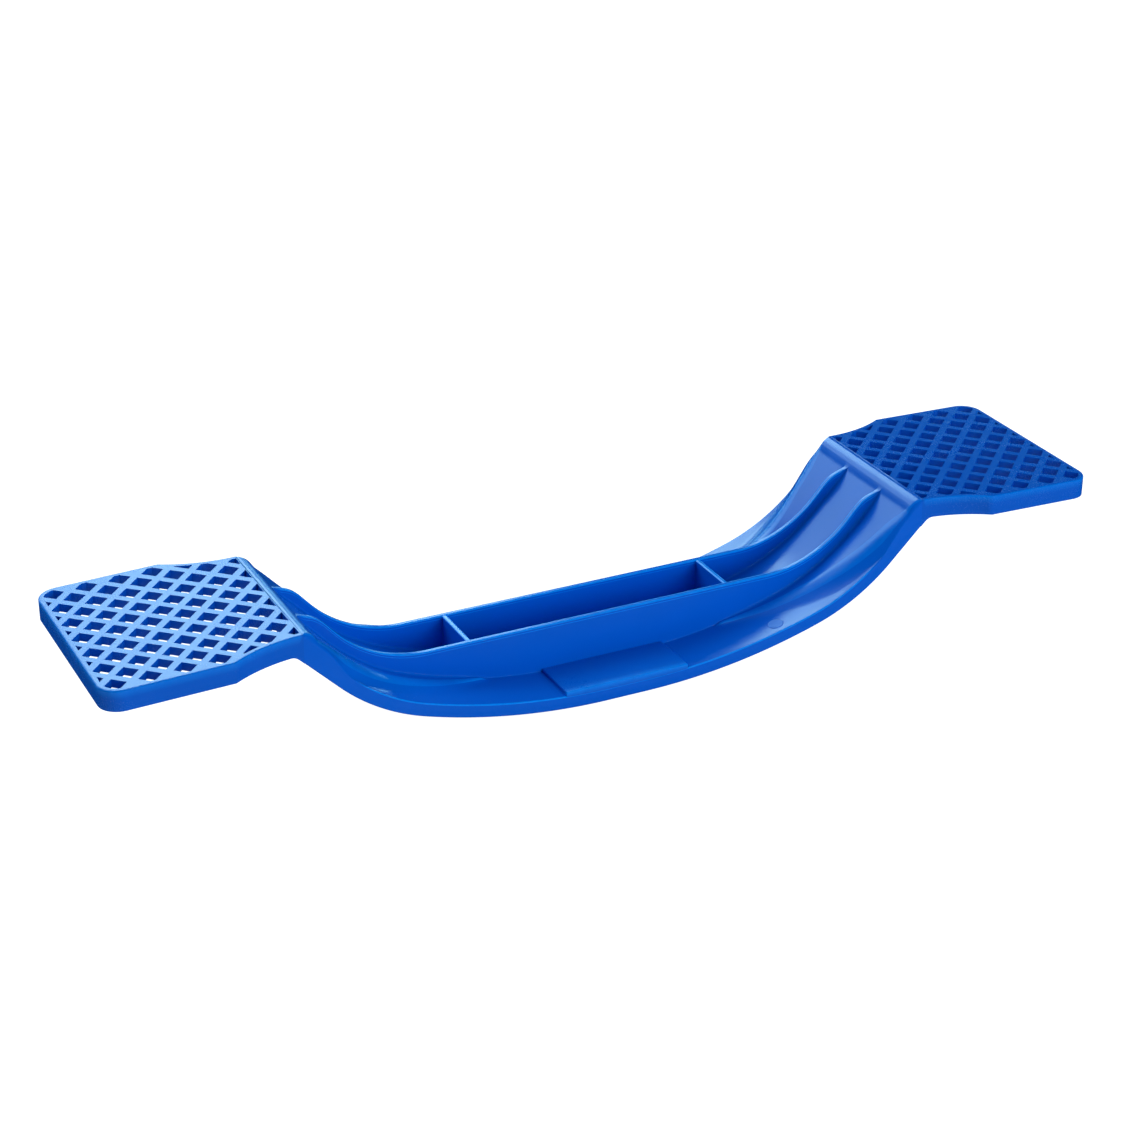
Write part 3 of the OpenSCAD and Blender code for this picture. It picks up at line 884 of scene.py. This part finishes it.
# %% Floor
def make_floor():
    bm = bmesh.new()
    bmesh.ops.create_circle(bm, cap_ends=True, radius=9.0, segments=48)
    mesh = bpy.data.meshes.new("studio_floor")
    bm.to_mesh(mesh)
    bm.free()
    floor = bpy.data.objects.new("studio_floor", mesh)
    bpy.context.scene.collection.objects.link(floor)
    material = bpy.data.materials.new("studio_floor")
    material.use_nodes = True
    tree = material.node_tree
    out = tree.nodes["Material Output"]
    tree.nodes.remove(tree.nodes["Principled BSDF"])
    paint = add_node(tree, "ShaderNodeBsdfDiffuse", Color=(0.30, 0.30, 0.30, 1.0))
    glow = add_node(tree, "ShaderNodeEmission", Color=(1.0, 1.0, 1.0, 1.0), Strength=1.0)
    both = tree.nodes.new("ShaderNodeAddShader")
    bounce = add_node(tree, "ShaderNodeBsdfDiffuse", Color=(0.80, 0.90, 0.90, 1.0))
    dark = add_node(tree, "ShaderNodeBsdfDiffuse", Color=(0.0, 0.01, 0.02, 1.0))
    path = tree.nodes.new("ShaderNodeLightPath")
    mirror, pick = tree.nodes.new("ShaderNodeMixShader"), tree.nodes.new("ShaderNodeMixShader")
    tree.links.new(path.outputs["Is Glossy Ray"], mirror.inputs["Fac"])
    tree.links.new(bounce.outputs[0], mirror.inputs[1])
    tree.links.new(dark.outputs[0], mirror.inputs[2])
    tree.links.new(paint.outputs[0], both.inputs[0])
    tree.links.new(glow.outputs[0], both.inputs[1])
    tree.links.new(path.outputs["Is Camera Ray"], pick.inputs["Fac"])
    tree.links.new(mirror.outputs[0], pick.inputs[1])
    tree.links.new(both.outputs[0], pick.inputs[2])
    tree.links.new(pick.outputs[0], out.inputs["Surface"])
    mesh.materials.append(material)


make_floor()
print("floor ready")


# %% Room
# The room's fill has almost no red in it, which keeps the shaded plastic a deep blue.
ROOM_FILL, ROOM_FILL_STRENGTH = (0.05, 1.0, 1.0, 1.0), 0.17
ROOM_MIRRORED, ROOM_MIRRORED_STRENGTH = (0.3, 0.8, 1.0, 1.0), 0.01


def make_room():
    world = bpy.data.worlds.new("studio_room")
    bpy.context.scene.world = world
    world.use_nodes = True
    tree = world.node_tree
    seen = tree.nodes["Background"]
    seen.inputs["Color"].default_value = (1.0, 1.0, 1.0, 1.0)
    seen.inputs["Strength"].default_value = 1.0
    fill = add_node(tree, "ShaderNodeBackground", Color=ROOM_FILL, Strength=ROOM_FILL_STRENGTH)
    dark = add_node(tree, "ShaderNodeBackground", Color=ROOM_MIRRORED, Strength=ROOM_MIRRORED_STRENGTH)
    path = tree.nodes.new("ShaderNodeLightPath")
    first, second = tree.nodes.new("ShaderNodeMixShader"), tree.nodes.new("ShaderNodeMixShader")
    tree.links.new(path.outputs["Is Glossy Ray"], first.inputs["Fac"])
    tree.links.new(fill.outputs[0], first.inputs[1])
    tree.links.new(dark.outputs[0], first.inputs[2])
    tree.links.new(path.outputs["Is Camera Ray"], second.inputs["Fac"])
    tree.links.new(first.outputs[0], second.inputs[1])
    tree.links.new(seen.outputs[0], second.inputs[2])
    tree.links.new(second.outputs[0], tree.nodes["World Output"].inputs["Surface"])


make_room()
print("room ready")


# %% Soft lights
def soft_light(name, azimuth, elevation, distance, width, height, power, colour, shows_in):
    """Azimuth is measured from +Y towards +X, in degrees."""
    a, e = math.radians(azimuth), math.radians(elevation)
    direction = Vector((math.sin(a) * math.cos(e), math.cos(a) * math.cos(e), math.sin(e)))
    data = bpy.data.lights.new(name, "AREA")
    data.shape = "RECTANGLE"
    data.size, data.size_y = width, height
    data.energy = power
    data.color = colour
    lamp = bpy.data.objects.new(name, data)
    lamp.location = direction * distance
    lamp.rotation_mode = "QUATERNION"
    lamp.rotation_quaternion = direction.to_track_quat("Z", "Y")
    lamp.visible_glossy = shows_in == "reflections"
    lamp.visible_diffuse = shows_in == "colour"
    lamp.visible_camera = False
    bpy.context.scene.collection.objects.link(lamp)
    return lamp


WHITE, COOL, COOLER = (1.0, 1.0, 1.0), (0.52, 0.92, 1.0), (0.35, 0.9, 1.0)
soft_light("back_softbox", 11, 34, 2.4, 1.0, 1.0, 19.5, COOL, "reflections")
soft_light("back_left_softbox", -25, 34, 2.4, 1.65, 1.0, 12.5, COOL, "reflections")
soft_light("low_strip", 10, 9, 2.8, 4.5, 0.25, 16, COOLER, "reflections")
soft_light("front_fill", 156, 18, 5.0, 4.0, 2.6, 168, WHITE, "colour")
soft_light("back_left_fill", -30, 45, 2.8, 2.4, 2.0, 56, WHITE, "colour")
soft_light("top_fill", 20, 85, 2.8, 2.4, 2.4, 11, WHITE, "colour")

# %% Camera
camera_data = bpy.data.cameras.new("camera")
camera_data.lens = 82.185
camera_data.sensor_width = 36.0
camera = bpy.data.objects.new("camera", camera_data)
camera.location = (-0.7406, -1.4674, 0.8842)
camera.rotation_euler = tuple(math.radians(d) for d in (63.855, -0.070, -26.099))
bpy.context.scene.collection.objects.link(camera)
bpy.context.scene.camera = camera
# Standard shows the colours as they are, where the default would grey the deep blue.
bpy.context.scene.view_settings.view_transform = "Standard"
print("camera", tuple(round(c, 3) for c in camera.location), "lens", camera_data.lens)
